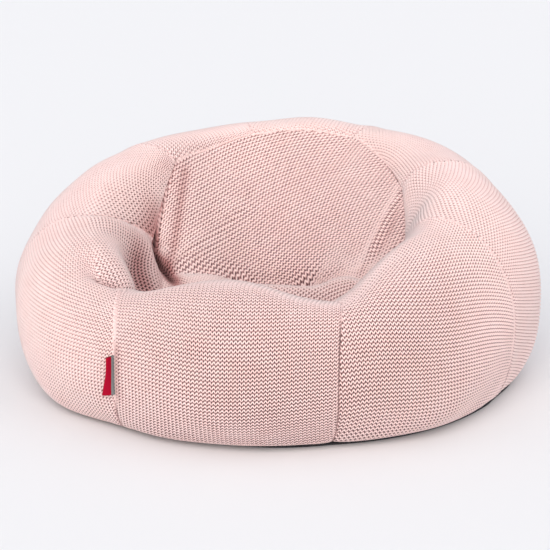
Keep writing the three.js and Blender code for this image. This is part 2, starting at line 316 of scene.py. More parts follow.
def knitted_object(name, points, hole_shade, shade, quads, triangles):
    """Mesh object in metres with smooth faces. Its attributes hold the painted shade of the holes and the
    painted shade of the folds.
    """
    used = np.unique(np.concatenate([quads.reshape(-1), triangles.reshape(-1)]))
    renumber = np.full(len(points), -1)
    renumber[used] = np.arange(len(used))
    faces = [*renumber[quads].tolist(), *renumber[triangles].tolist()]
    mesh = bpy.data.meshes.new(name)
    mesh.from_pydata(((points[used] + SHIFT) * MM).tolist(), [], faces)
    for label, values in (("hole_shade", hole_shade), ("shade", shade)):
        attribute = mesh.attributes.new(label, "FLOAT", "POINT")
        attribute.data.foreach_set("value", values[used].astype(np.float32))
    mesh.shade_smooth()
    piece = bpy.data.objects.new(name, mesh)
    bpy.context.collection.objects.link(piece)
    return piece


def unit(vectors):
    return vectors / np.maximum(np.linalg.norm(vectors, axis=-1, keepdims=True), 1e-9)


print("a lattice of 3 by 3 vertices has", len(lattice_faces(3, 3, np.full((3, 3), True))), "faces")

# %% Helpers for stitches
# How uneven the stitches are in tone, and between which factors that stays.
STITCH_SPREAD = 0.05
STITCH_RANGE = (0.6, 1.15)


def yarn_at(column, line):
    """Height of the yarn for whole numbers of columns and lines, and the painted shade of the hole there."""
    at = line % len(ROW_LINES), column % COLUMNS
    return YARN_HEIGHT[at], HOLE_SHADE_TABLE[at]


def lookup(table, firsts, seconds, first, second):
    """Value between the entries of a table whose two axes have even steps."""
    i = np.clip((first - firsts[0]) / (firsts[1] - firsts[0]), 0, len(firsts) - 1.001)
    j = np.clip((second - seconds[0]) / (seconds[1] - seconds[0]), 0, len(seconds) - 1.001)
    k, n = i.astype(int), j.astype(int)
    p, q = i - k, j - n
    low = table[k, n] * (1 - q) + table[k, n + 1] * q
    high = table[k + 1, n] * (1 - q) + table[k + 1, n + 1] * q
    return low * (1 - p) + high * p


def zigzag(column):
    """1 at a peak of the row, -1 at a trough."""
    return np.array([1, 0, -1, 0])[column % COLUMNS]


def uneven(column, line):
    """A factor round 1 for each stitch, the same for all its vertices."""
    stitch = (column + 1) // COLUMNS * 2 + ((column + 1) % COLUMNS > 1)
    row = line // len(ROW_LINES)
    table = np.random.default_rng(11).normal(1, STITCH_SPREAD, (np.ptp(row) + 1, np.ptp(stitch) + 1))
    return np.clip(table[row - row.min(), stitch - stitch.min()], *STITCH_RANGE)


print("one row goes", zigzag(np.arange(2 * COLUMNS)))

# %% [markdown]
# ## The gores
# Rows run across a gore, so they meet those of its neighbour at the seam like the two sides of a
# herringbone. Across a row, stitches keep their width and end where the seam cuts them off, as in cut
# and sewn knit. A place on a gore has two numbers: u, the cloth across from the gore's middle, and v,
# the cloth up from its girth. Tables give both for every cut and level.

# %% Cloth on a gore
W_STEPS = 81
LEVEL_STEPS = 301
MIDDLE = W_STEPS // 2
GIRTH = LEVEL_STEPS // 3
CREST = 2 * GIRTH
# Past the crest a seam has as many rows as the middle of its gore, closer together where there is less
# cloth. On three gores the rows keep their pitch, and the seam at the seat cuts them off.
ROWS_CUT_AT_SEAT = {"right", "back_right", "front_left"}


def running_length(cover, axis):
    """Length of cloth along one axis of a grid of points, from its first entry on."""
    ahead = [(1, 0) if k == axis else (0, 0) for k in range(2)]
    return np.pad(np.linalg.norm(np.diff(cover, axis=axis), axis=-1).cumsum(axis=axis), ahead)


def cloth_lengths(gore):
    """Tables over w and level: cloth across from the middle of the gore, and up from its girth there."""
    w, level = np.meshgrid(np.linspace(-1, 1, W_STEPS), np.linspace(0, 3, LEVEL_STEPS), indexing="ij")
    cover = ring_point(gore, w, level)
    across, up = running_length(cover, 0), running_length(cover, 1)
    if GORE_NAMES[gore] not in ROWS_CUT_AT_SEAT:
        past = np.maximum(up - up[:, [CREST]], 0)
        up = np.minimum(up, up[:, [CREST]]) + past * past[MIDDLE, -1] / past[:, [-1]]
    return w[:, 0], level[0], across - across[MIDDLE], up - up[MIDDLE, GIRTH]


front_up = cloth_lengths(0)[3][MIDDLE]
print("the front gore has", round(float(np.ptp(front_up))), "mm of cloth from its hem to the seat")

# %% [markdown]
# The filling tilts and bows the rows, and they draw together where the cloth was eased into a seam. So
# each gore that shows has a few numbers of its own, read from the photograph. Going from u and v back to
# w and level has no formula, but a few rounds of looking up one after the other settle on the answer.

# %% Lay the rows of a gore
# Pitch and slant of the rows, how they rise toward the seams, how they draw together at both seams, how
# they spread from the second seam to the first, and how they widen upward.
ROWS = {
    "front": (5.27, 0.01, 0, 4e-6, 0, 5e-4),
    "front_right": (5.3, -0.08, -0.0008, 0, 0.0007, 0),
    "right": (5.3, -0.3, 0, 0, -0.0008, 0),
    "back_right": (4.7, 0, 0, 0, 0, 0),
    "left": (4.7, 0.12, 0, 0, 0, 0),
    "front_left": (5.15, -0.03, 0.0003, 0, 0, 0),
}
ROWS_ELSEWHERE = (5.2, 0, 0, 0, 0, 0)
WIDENED_UP_TO = 150.0
# On the two front gores the rows are also pulled apart over the last stretch down to the hem.
HEM_PULL = {"front": 1.3, "front_right": 0.9}
HEM_PULL_REACH = 60.0
SPARE_ROWS = 14
SPARE_COLUMNS = 2
U_STEPS = 201
V_STEPS = 401
ROUNDS = 6


def lay_rows(gore):
    """The lattice of a gore: its columns and lines, where they lie, and how far each edge of the cloth is."""
    name = GORE_NAMES[gore]
    ws, levels, across, up = cloth_lengths(gore)
    us = np.linspace(across.min(), across.max(), U_STEPS)
    vs = np.linspace(up.min(), up.max(), V_STEPS)
    w_table = np.array([np.interp(us, across[:, k], ws) for k in range(len(levels))])
    level_table = np.array([np.interp(vs, up[k], levels) for k in range(len(ws))])
    step = STITCH_WIDTH / COLUMNS
    most = int(np.abs(us).max() / step) + SPARE_COLUMNS
    pitch, slant, bow, tighten, spread, widen = ROWS.get(name, ROWS_ELSEWHERE)
    lowest, highest = int(vs[0] / pitch) - SPARE_ROWS, int(vs[-1] / pitch) + SPARE_ROWS
    column, line = np.meshgrid(
        np.arange(-most, most + 1),
        np.arange(lowest * len(ROW_LINES), highest * len(ROW_LINES) + 1),
        indexing="ij",
    )
    u = column * step
    v = pitch * (line // len(ROW_LINES) + ROW_LINES[line % len(ROW_LINES)] + ZIGZAG * zigzag(column))
    closeness = tighten * u ** 2 + spread * u - widen * np.minimum(v, WIDENED_UP_TO)
    v = v * (1 - closeness) + slant * u + bow * u ** 2
    near_hem = np.maximum(up[MIDDLE, 0] + HEM_PULL_REACH - v, 0)
    v = v - HEM_PULL.get(name, 0) * near_hem ** 2 / (2 * HEM_PULL_REACH)
    w, level = np.zeros(u.shape), np.ones(u.shape)
    for _ in range(ROUNDS):
        level = lookup(level_table, ws, vs, w, v)
        w = lookup(w_table, levels, us, level, u)
    first_seam, second_seam = -np.interp(level, levels, across[0]), np.interp(level, levels, across[-1])
    to_seam = np.where(u < 0, first_seam, second_seam) - np.abs(u)
    to_seat = np.interp(w, ws, up[:, -1]) - v
    to_end = np.minimum(to_seat, v - np.interp(w, ws, up[:, 0]))
    return SimpleNamespace(
        gore=gore, name=name, pitch=pitch, column=column, line=line, u=u, v=v, w=w, level=level,
        to_seam=to_seam, to_seat=to_seat, to_end=to_end, to_edge=np.minimum(to_seam, to_end),
    )


print("rows on the front are", ROWS["front"][0], "mm apart at its girth")

# %% [markdown]
# Three things push the cloth along its normal: the yarn of each stitch, the soft lumps of the filling and
# a few folds. The folds are at the left arm, where the filling has slumped behind the front roll.

# %% Relief of a gore
# Start, end, half width and height of each fold. A place on a gore is its u and v.
GORE_FOLDS = {
    "front_left": [
        (112, 196, 62, 158, 24, -15),
        (62, 158, 24, 157, 17, -8),
        (26, 264, 80, 248, 31, -34),
        (-70, 235, -60, 300, 26, 9),
    ],
}
# Yarn and folds fade out this close to the edge of the cloth.
EDGE_FADE = 0.8
GORE_FOLD_FADE = 16.0
# The cover is stretched at the hem and over the crest, and its yarn lies flatter there: share by level.
RELIEF = {0: 0.2, 0.9: 1, 1.3: 1, 1.9: 0.5, 2.3: 1}
ROOM_POWER = 1.5
NUDGE = 1e-3


def raised_points(lattice):
    """Points of a gore's lattice, pushed out by the yarn, the lumps and the folds."""
    gore, w, level = lattice.gore, lattice.w, lattice.level
    points = ring_point(gore, w, level)
    right, left = (ring_point(gore, np.clip(w + way, -1, 1), level) for way in (NUDGE, -NUDGE))
    above, under = (ring_point(gore, w, np.clip(level + way, 0, 3)) for way in (NUDGE, -NUDGE))
    normal = unit(np.cross(right - left, above - under))
    # Where rows are pressed together, as in a corner, the yarn has no room to stand up.
    room = np.linalg.norm(np.gradient(points, axis=1), axis=-1) * len(ROW_LINES) / lattice.pitch
    flat = np.interp(level, list(RELIEF), list(RELIEF.values()))
    height = yarn_at(lattice.column, lattice.line)[0]
    lift = smooth(lattice.to_edge, 0, EDGE_FADE) * np.minimum(room, 1) ** ROOM_POWER * flat * height
    lift += smooth(lattice.to_edge, 0, LUMP_FADE) * lumps(points)
    folds = fold_lift(GORE_FOLDS.get(lattice.name, []), lattice.u, lattice.v)
    lift += smooth(lattice.to_edge, 0, GORE_FOLD_FADE) * folds
    return (points + normal * lift[..., None]).reshape(-1, 3)


print("folds on", ", ".join(GORE_FOLDS))

# %% [markdown]
# A real hole between thick yarns is narrower and goes deeper than one in the mesh, so it gets a painted
# shade as well. How dark that is depends on how the light falls: darkest low on the front, palest on the
# sides and the crest. Seams and deep folds get painted shade of their own. All of it is kept per vertex.

# %% Tones of a gore
# Painted shade in the crease of each seam, from the front left round to the left, and how wide it is.
SEAM_TONES = [0.1, 0.7, 0.22, 0.3, 0.35, 0.35, 0.3, 0.2]
SEAM_WIDTHS = [2.5, 1.2, 2, 2, 1.5, 1.5, 2, 2]
# The hem, the foot of each seam and its stretch over the crest have painted shades of their own.
HEM_TONE = 0.6
FOOT_TONE = 0.6
FOOT_LEVELS = (0.6, 0.85)
CREST_TONE = 0.25
CREST_LEVELS = (1.5, 1.9)
# How strong the painted shade in the holes is, for each level a row of shares round the pouf: stronger where
# little light falls into them.
HOLE_AZIMUTHS = [-180, -90, -84, -50, -25, 0, 40, 65, 90, 180]
HOLE_SHARES = {
    0: [0.9, 0.95, 0.95, 1.1, 1.7, 1.85, 1.85, 1.5, 1, 0.9],
    1: [0.75, 0.72, 0.75, 0.85, 1.15, 1.4, 1.4, 1.1, 0.85, 0.75],
    2: [0.55, 0.7, 0.8, 0.9, 0.9, 0.9, 0.85, 0.72, 0.68, 0.55],
    2.6: [0.7, 1.2, 1.5, 1.6, 1.1, 0.9, 0.8, 0.8, 0.9, 0.7],
}
# Where little light gets in, written as folds are, with the shade in place of the height.
GORE_SHADES = {
    # Painted shadow of the label, beside the front left seam.
    "front": [(-155, -18, -155, 34, 7, 0.25)],
    "front_left": [
        (-18, 291, 14, 292, 17, 0.36),
        (-60, 296, 0, 296, 28, 0.1),
        (100, 188, 62, 158, 9, 0.2),
    ],
}
# The cover dives into the seam at the seat, so less light reaches it there. On the left gore that grows
# toward the front left one.
SEAT_SHADE = {"left": 0.45, "front_left": 0.2}
SEAT_SHADE_REACH = 24.0
LEFT_SHADE_GROWS = (-0.1, 0.7)


def gore_tones(lattice, points):
    """How dark the painted shade in each hole of a gore is, and how much painted shade of folds lies on it.
    """
    w, level = lattice.w, lattice.level
    first, second = lattice.gore, (lattice.gore + 1) % len(SEAMS)
    tone = np.where(w < 0, SEAM_TONES[first], SEAM_TONES[second])
    width = np.where(w < 0, SEAM_WIDTHS[first], SEAM_WIDTHS[second])
    tone = FOOT_TONE + (tone - FOOT_TONE) * smooth(level, *FOOT_LEVELS)
    tone = np.where(lattice.to_end < lattice.to_seam, HEM_TONE, tone)
    tone = tone + (CREST_TONE - tone) * smooth(level, *CREST_LEVELS)
    at_seam = np.exp(-(np.maximum(lattice.to_edge, 0) / width) ** 2)
    azimuth = np.degrees(np.arctan2(points[:, 0], -points[:, 1])).reshape(w.shape)
    share = np.zeros(w.shape)
    for k, shares in enumerate(HOLE_SHARES.values()):
        here = np.interp(level, list(HOLE_SHARES), np.eye(len(HOLE_SHARES))[k])
        share += here * np.interp(azimuth, HOLE_AZIMUTHS, shares)
    dusk = fold_lift(GORE_SHADES.get(lattice.name, []), lattice.u, lattice.v)
    hole_shade = yarn_at(lattice.column, lattice.line)[1]
    hole_shade = hole_shade * uneven(lattice.column, lattice.line) * share * (1 + dusk)
    hole_shade = np.minimum(hole_shade, 1)
    hole_shade = hole_shade + (tone - hole_shade) * at_seam
    deep = np.exp(-(np.maximum(lattice.to_seat, 0) / SEAT_SHADE_REACH) ** 2)
    shade = SEAT_SHADE.get(lattice.name, 0) * deep
    if lattice.name == "left":
        shade = shade * smooth(w, *LEFT_SHADE_GROWS)
    return hole_shade, np.maximum(shade, dusk)


print("tones for", len(SEAM_TONES), "seams and", len(HOLE_SHARES), "levels")

# %% Knit the eight gores
CORE_LEVEL = 0.9


def knit_gore(gore):
    lattice = lay_rows(gore)
    points = raised_points(lattice)
    hole_shade, shade = gore_tones(lattice, points)
    quads = lattice_faces(*lattice.u.shape, lattice.to_edge > 0)
    rim = open_edges(quads, len(points))
    core = ring_point(gore, np.array(0.0), np.array(CORE_LEVEL))
    inner = ring_point(gore, np.array(0.0), np.array(3.0))
    points = np.concatenate([points, (core + inner)[None] / 2])
    fan = np.column_stack([rim[:, 1], rim[:, 0], np.full(len(rim), len(points) - 1)])
    hole_shade, shade = np.append(hole_shade, 1), np.append(shade, 1)
    return knitted_object(f"knit_{lattice.name}", points, hole_shade, shade, quads, fan)


gores = {}
for number, gore_name in enumerate(GORE_NAMES):
    gores[gore_name] = knit_gore(number)
    print("gore", gore_name, "has", len(gores[gore_name].data.polygons), "faces")

# %% [markdown]
# ## The seat panel
# The panel is one round of knit with its own direction: its rows slant up to the right. It is sewn to
# the ring all round, lies level where a person sits, and climbs the rest behind. Between the two runs a
# crease, and sitting has pulled a few folds from the corners. Its height is a plain function of the
# place in plan, so the lattice of stitches can be laid on it at any angle.

# %% Edge of the seat panel
SEAT_CENTRE = np.array([0.0, -20.0])
EDGE_WAVES = [1, 2, 3]

edge_w = np.linspace(-1, 1, 61)[:-1]
edge = np.concatenate([ring_point(g, edge_w, np.full(edge_w.shape, 3.0)) for g in range(len(SEAMS))])
edge_arm = edge[:, :2] - SEAT_CENTRE
edge_angle = np.unwrap(np.arctan2(edge_arm[:, 1], edge_arm[:, 0]))
edge_reach = np.hypot(edge_arm[:, 0], edge_arm[:, 1])
edge_height = edge[:, 2]


def low_waves(values):
    """The mean of the edge and its longest waves, without the corners."""
    round_it = np.concatenate([[edge_angle[-1] - 2 * np.pi], edge_angle, [edge_angle[0] + 2 * np.pi]])
    span = (round_it[2:] - round_it[:-2]) / 2
    soft = np.full_like(values, (values * span).sum() / (2 * np.pi))
    for n in EDGE_WAVES:
        for wave in (np.cos(n * edge_angle), np.sin(n * edge_angle)):
            soft += (values * wave * span).sum() / np.pi * wave
    return soft


def round_the_edge(values, angle):
    return np.interp(angle, edge_angle, values, period=2 * np.pi)


print("the panel's edge is", edge_height.min().round(), "to", edge_height.max().round(), "mm high")

# %% Height of the seat panel
# How high the seat is, and how the rest comes down to it: over what share of the way, and how evenly.
SEAT_HEIGHT = 118.0
REST_SHARE = 0.69
REST_EASE = 1.25
REST_CROWN = 9.0
CORNER_FADE = 0.35
FOLD_FADE = 0.02
SOFTEN_ROUNDS = 5
PANEL_FOLDS = {
    "crease by the left arm": (-174, 95, -182, 20, 16, -13),
    "valley beside the crease": (-133, 128, -150, 22, 7, -3),
    "pocket at the left of the seat": (-170, 14, -154, -10, 10, -10),
    "slanting pull": (-142, 10, -62, 112, 11, 3),
    "thin line on the pull": (-138, 14, -50, 118, 3, -1.5),
    "dip beside the pull": (-103, 30, -37, 125, 15, -2),
    "ridge by the right arm": (179, 50, 143, 4, 7, 3),
    "end of that ridge": (143, 4, 127, -26, 7, 2),
    "valley by the right arm": (184, 36, 153, -11, 8, -1.5),
    "end of that valley": (153, -11, 138, -27, 8, -1.5),
    "swell of the seat": (-50, -34, 70, -44, 28, 19),
    "left part of the seat crease": (-139, 4, -51, 38, 10, -9),
    "middle of the seat crease": (-51, 38, 45, 40, 10, -10),
    "right part of the seat crease": (45, 40, 120, -40, 10, -9),
}


def panel_height(x, y, folds=PANEL_FOLDS.values()):
    """Height of the smooth panel, and the share of the way from its edge to the middle of the seat."""
    arm_x, arm_y = x - SEAT_CENTRE[0], y - SEAT_CENTRE[1]
    angle, arm = np.arctan2(arm_y, arm_x), np.hypot(arm_x, arm_y)
    reach = round_the_edge(edge_reach, angle)
    soft_reach = round_the_edge(low_waves(edge_reach), angle)
    rim_height = round_the_edge(edge_height, angle)
    soft_height = round_the_edge(low_waves(edge_height), angle)
    share = 1 - arm / reach
    for _ in range(SOFTEN_ROUNDS):
        soften = smooth(share, 0, CORNER_FADE)
        share = 1 - arm / (reach + (soft_reach - reach) * soften)
    on_panel = np.clip(share, 0, 1)
    soften = smooth(on_panel, 0, CORNER_FADE)
    rise = rim_height + (soft_height - rim_height) * soften - SEAT_HEIGHT
    down = np.minimum(on_panel / REST_SHARE, 1)
    crown = REST_CROWN * np.sin(np.pi * down) * rise / SEAT_HEIGHT
    z = SEAT_HEIGHT + rise * (1 - down) ** REST_EASE + crown
    return z + smooth(on_panel, 0, FOLD_FADE) * fold_lift(folds, x, y), share


print("the middle of the seat is", panel_height(*SEAT_CENTRE)[0].round(), "mm high")

# %% [markdown]
# Seen from the front, the panel's rows look straight. So they are laid out as seen from there, and spaced
# by the length of cloth up the middle. A table turns a place across and a length up into a depth.

# %% Rows of the seat panel
LOOK_DOWN = math.radians(30)
TABLE_BACK, TABLE_FRONT = 230.0, -240.0
STEPS_ACROSS, STEPS_BACK, STEPS_UP = 185, 471, 601
table_x = np.linspace(-TABLE_BACK, TABLE_BACK, STEPS_ACROSS)
table_y = np.linspace(TABLE_FRONT, TABLE_BACK, STEPS_BACK)
grid_x, grid_y = np.meshgrid(table_x, table_y, indexing="ij")
smooth_z = panel_height(grid_x, grid_y, folds=[])[0]
look_up = np.maximum.accumulate(smooth_z * math.cos(LOOK_DOWN) + grid_y * math.sin(LOOK_DOWN), axis=1)
# A tiny rise keeps the table in order where the panel is hidden from the front.
look_up += 1e-6 * np.arange(len(table_y))
centre = len(table_x) // 2
profile_length = np.concatenate([[0], np.cumsum(np.hypot(np.diff(table_y), np.diff(smooth_z[centre])))])
profile_length -= np.interp(SEAT_CENTRE[1], table_y, profile_length)
table_length = np.linspace(profile_length[0], profile_length[-1], STEPS_UP)
depth_table = np.array([
    np.interp(np.interp(table_length, profile_length, look_up[centre]), look_up[k], table_y)
    for k in range(len(table_x))
])
print("up its middle the panel is", round(float(np.ptp(profile_length))), "mm long")

# %% Stitches of the seat panel
# How far apart the rows are, how they slant, and from where their right ends bend down.
PANEL_ROW_PITCH = 5.6
PANEL_TURN = math.radians(39)
PANEL_BEND_FROM = 100.0
PANEL_BEND = 0.0023
PANEL_ZIGZAG = 0.25
PANEL_NUDGE = 0.5
PAST_THE_EDGE = 1.3

half_size = max(profile_length[-1], -profile_length[0], TABLE_BACK) * PAST_THE_EDGE
half_columns = int(half_size / STITCH_WIDTH * COLUMNS)
half_rows = int(half_size / PANEL_ROW_PITCH)
column, line = np.meshgrid(
    np.arange(-half_columns, half_columns + 1),
    np.arange(-half_rows * len(ROW_LINES), half_rows * len(ROW_LINES) + 1),
    indexing="ij",
)
u = column * STITCH_WIDTH / COLUMNS
rows_up = line // len(ROW_LINES) + ROW_LINES[line % len(ROW_LINES)] + PANEL_ZIGZAG * zigzag(column)
v = PANEL_ROW_PITCH * rows_up - PANEL_BEND * np.maximum(u - PANEL_BEND_FROM, 0) ** 2
x = u * math.cos(PANEL_TURN) - v * math.sin(PANEL_TURN)
y = lookup(depth_table, table_x, table_length, x, u * math.sin(PANEL_TURN) + v * math.cos(PANEL_TURN))
z, share = panel_height(x, y)
rise_x = panel_height(x + PANEL_NUDGE, y)[0] - panel_height(x - PANEL_NUDGE, y)[0]
rise_y = panel_height(x, y + PANEL_NUDGE)[0] - panel_height(x, y - PANEL_NUDGE)[0]
slope_x, slope_y = rise_x / (2 * PANEL_NUDGE), rise_y / (2 * PANEL_NUDGE)
normal = unit(np.stack([-slope_x, -slope_y, np.ones_like(x)], axis=-1))
points = np.stack([x, y, z], axis=-1)
lift = yarn_at(column, line)[0] + lumps(points)
points = (points + normal * lift[..., None]).reshape(-1, 3)
print("a stitch of the panel is", STITCH_WIDTH, "by", PANEL_ROW_PITCH, "mm")

# %% Tones of the seat panel
# Painted shade in the panel's holes. The panel is stretched, so its gaps between rows look darker than
# elsewhere and its holes less so.
PANEL_HOLE_SHADE_TABLE = np.array([[0, 0, 0, 0], [0.87, 0.55, 0.77, 0.55], [0.87, 0.55, 0.77, 0.55]])
# The painted shade of the holes is a little paler up the rest, where more light falls in, and a little darker
# on the seat, which lies in the ring's shade.
PANEL_TOP = (60, 180)
PANEL_TOP_FADE = 0.06
SEAT_RISE = 22.0
SEAT_HOLES = 0.05
FLOOR_SHADE = 0.05
DEEPEST_SHADE = 0.95
# Where little light gets in: start, end, half width and shade.
PANEL_SHADES = [
    (-152, 130, -172, 84, 5, 0.2),
    (-172, 84, -178, 50, 5, 0.35),
    (-178, 50, -174, 14, 6, 0.6),
    (-170, 14, -153, -10, 11, 0.95),
    (-136, 125, -151, 20, 7, 0.25),
    (184, 33, 170, 8, 6, 0.1),
    (170, 8, 153, -14, 7, 0.08),
    (153, -14, 138, -30, 7, 0.06),
]

hole_shade = PANEL_HOLE_SHADE_TABLE[line % len(ROW_LINES), column % COLUMNS] * uneven(column, line)
on_seat = 1 - smooth(z, SEAT_HEIGHT, SEAT_HEIGHT + SEAT_RISE)
hole_shade = hole_shade * (1 - PANEL_TOP_FADE * smooth(y, *PANEL_TOP) + SEAT_HOLES * on_seat)
shade = np.clip(fold_lift(PANEL_SHADES, x, y) + FLOOR_SHADE * on_seat, 0, DEEPEST_SHADE)
print("shade on the panel goes up to", round(float(shade.max()), 2))

# %% Close the seat panel
# The panel runs a little under the ring, and walls and a bottom close it round the filling.
UNDER_THE_RING = 5.0

rim_reach = round_the_edge(edge_reach, np.arctan2(y - SEAT_CENTRE[1], x - SEAT_CENTRE[0]))
quads = lattice_faces(*column.shape, share * rim_reach > -UNDER_THE_RING)
rim = open_edges(quads, len(points))
below = points.copy()
below[:, 2] = COVER_FLOOR
apex = np.array([[*SEAT_CENTRE, COVER_FLOOR]])
count = len(points)
walls = np.concatenate([
    np.column_stack([rim[:, 1], rim[:, 0], rim[:, 0] + count]),
    np.column_stack([rim[:, 1], rim[:, 0] + count, rim[:, 1] + count]),
    np.column_stack([rim[:, 1] + count, rim[:, 0] + count, np.full(len(rim), 2 * count)]),
])
hole_shade = np.concatenate([hole_shade.reshape(-1), np.zeros(count + 1)])
shade = np.concatenate([shade.reshape(-1), np.zeros(count + 1)])
seat = knitted_object("knit_seat_panel", np.concatenate([points, below, apex]), hole_shade, shade, quads, walls)
print("seat panel has", len(seat.data.polygons), "faces")

# %% [markdown]
# ## The base cloth
# A dark plain weave closes the underside. Only its edge shows, as the dark line under the front. Its
# outline follows the base edge of the gores, a little outside it, with a rounded rim.

# %% Base cloth
BASE_THICKNESS = 3.0
BASE_RIM_SHOWN = 8.0
BASE_RIM_HIDDEN = -5.0
RIM_STEPS = 5
outline = np.concatenate([ring_point(g, edge_w, np.zeros(edge_w.shape)) for g in range(len(SEAMS))])[:, :2]
outward = unit(outline)
outline_azimuth = np.degrees(np.arctan2(outline[:, 0], -outline[:, 1]))
rim_out = (BASE_RIM_SHOWN * hem(outline_azimuth) + BASE_RIM_HIDDEN * (1 - hem(outline_azimuth)))[:, None]
bend = np.linspace(-np.pi / 2, np.pi / 2, RIM_STEPS)
rounds = [
    np.column_stack([
        outline + outward * (rim_out - BASE_THICKNESS / 2 * (1 - math.cos(angle))),
        np.full(len(outline), BASE_THICKNESS / 2 * (1 + math.sin(angle))),
    ])
    for angle in bend
]
centres = np.array([[0, 0, 0], [0, 0, BASE_THICKNESS]])
points = np.concatenate([*rounds, centres])
n = len(outline)
turn = np.arange(n)
ahead = (turn + 1) % n
faces = []
for k in range(RIM_STEPS - 1):
    faces += np.column_stack([k * n + turn, k * n + ahead, (k + 1) * n + ahead, (k + 1) * n + turn]).tolist()
top = (RIM_STEPS - 1) * n
faces += np.column_stack([ahead, turn, np.full(n, len(points) - 2)]).tolist()
faces += np.column_stack([top + turn, top + ahead, np.full(n, len(points) - 1)]).tolist()
mesh = bpy.data.meshes.new("base_cloth")
mesh.from_pydata(((points + SHIFT) * MM).tolist(), [], faces)
base = bpy.data.objects.new("base_cloth", mesh)
bpy.context.collection.objects.link(base)

# %% [markdown]
# ## The label
# A woven ribbon, folded once and caught in the front left seam, stands out from the cover. Its lower
# end has been brushed aside. The part of it next to the seam is grey and the rest is red.

# %% Shape of the label
LABEL_HEIGHT = 53.0
LABEL_REACH = 14.5
LABEL_PLY = 0.9
LABEL_FOLD = 1.2
LABEL_MIDDLE = 92.3
LABEL_FLARE = 9.0
LABEL_WAVE = 0.5
LABEL_WAVE_TURN = 7.0
LABEL_CLEAR = 0.4
LABEL_STEPS = 60
FOLD_STEPS = 8
REACH_STEPS = 10

levels = np.linspace(0, 2, 401)
seam = ring_point(0, np.full(levels.shape, -1.0), levels)
label_z = LABEL_MIDDLE + np.linspace(-0.5, 0.5, LABEL_STEPS + 1) * LABEL_HEIGHT
seam_x, seam_y = (np.interp(label_z, seam[:, 2], seam[:, k]) for k in (0, 1))
outer = LABEL_PLY + LABEL_FOLD / 2
inner = LABEL_FOLD / 2
straight = np.linspace(0, LABEL_REACH - outer, REACH_STEPS)
half_turn = np.linspace(np.pi / 2, -np.pi / 2, FOLD_STEPS + 1)[1:-1]


def ply(radius):
    """Out along one side of the ribbon, round its fold and back: reach and offset to the side."""
    out = np.column_stack([straight, np.full(REACH_STEPS, radius)])
    fold = np.column_stack([straight[-1] + radius * np.cos(half_turn), radius * np.sin(half_turn)])
    return np.concatenate([out, fold, out[::-1] * [1, -1]])


ribbon = np.concatenate([ply(outer), ply(inner)[::-1]])
reach, side = ribbon[:, 0], ribbon[:, 1]
drop = np.linspace(1, 0, LABEL_STEPS + 1)
radial = unit(np.column_stack([seam_x, seam_y]))
sideways = np.column_stack([-radial[:, 1], radial[:, 0]])
wave = LABEL_WAVE * np.sin(np.linspace(0, LABEL_WAVE_TURN, LABEL_STEPS + 1))
bend = (LABEL_FLARE * drop ** 2 + wave)[:, None] * (reach / LABEL_REACH)[None] ** 2
plan = np.column_stack([seam_x, seam_y])[:, None] + radial[:, None] * (LABEL_CLEAR + reach)[None, :, None]
plan = plan + sideways[:, None] * (side[None] - bend)[..., None]
points = np.concatenate([plan, np.broadcast_to(label_z[:, None, None], (*plan.shape[:2], 1))], axis=-1)
print("the label's lower end is brushed", LABEL_FLARE, "mm aside")

# %% Mesh of the label
n = len(ribbon)
turn = np.arange(n)
ahead = (turn + 1) % n
faces = []
for k in range(LABEL_STEPS):
    faces += np.column_stack([k * n + turn, (k + 1) * n + turn, (k + 1) * n + ahead, k * n + ahead]).tolist()
half = n // 2
for k, turned in ((0, False), (LABEL_STEPS, True)):
    for i in range(half - 1):
        quad = [k * n + i, k * n + i + 1, k * n + n - 2 - i, k * n + n - 1 - i]
        faces.append(quad[::-1] if turned else quad)
mesh = bpy.data.meshes.new("seam_label")
mesh.from_pydata(((points.reshape(-1, 3) + SHIFT) * MM).tolist(), [], faces)
shares = np.tile(reach / LABEL_REACH, LABEL_STEPS + 1).astype(np.float32)
mesh.attributes.new("reach", "FLOAT", "POINT").data.foreach_set("value", shares)
mesh.shade_smooth()
label = bpy.data.objects.new("seam_label", mesh)
bpy.context.collection.objects.link(label)
print("label with", len(mesh.polygons), "faces")

# %% [markdown]
# ## Materials
# All three finishes are cloth, and cloth is matt. One function adds a node with its settings and links.


# %% Colours and nodes
def linear(hex_colour):
    """sRGB hex to linear red, green, blue and alpha."""
    values = [int(hex_colour[k:k + 2], 16) / 255 for k in (1, 3, 5)]
    return (*[c / 12.92 if c <= 0.04045 else ((c + 0.055) / 1.055) ** 2.4 for c in values], 1)


def add(tree, kind, settings=None, **links):
    """One shader node with its settings, the stops of a ramp among them.

    Inputs named in links, or numbered as i0 and so on, are set to a value or joined to an output.
    """
    node = tree.nodes.new(kind)
    settings = dict(settings or {})
    stops = settings.pop("stops", [])
    for _ in stops[2:]:
        node.color_ramp.elements.new(0.5)
    for k, (at, colour) in enumerate(stops):
        node.color_ramp.elements[k].position = at
        node.color_ramp.elements[k].color = linear(colour)
    for name, value in settings.items():
        setattr(node, name, value)
    for name, value in links.items():
        numbered = name[0] == "i" and name[1:].isdigit()
        socket = node.inputs[int(name[1:]) if numbered else name.replace("_", " ")]
        if isinstance(value, bpy.types.NodeSocket):
            tree.links.new(value, socket)
        else:
            socket.default_value = value
    return node


def new_material(name):
    """A material with its node tree and its shader."""
    material = bpy.data.materials.new(name)
    material.use_nodes = True
    return material, material.node_tree, material.node_tree.nodes["Principled BSDF"]


print("mid grey is", round(linear("#808080")[0], 3), "in linear light")

# %% [markdown]
# The cover is soft spun cotton, dyed a pale powder pink. Light gets into the yarn and comes back
# warmer, so the holes between the stitches look rosy brown and not grey. Loose fibres give a faint sheen
# and blur the surface at a fraction of a millimetre.

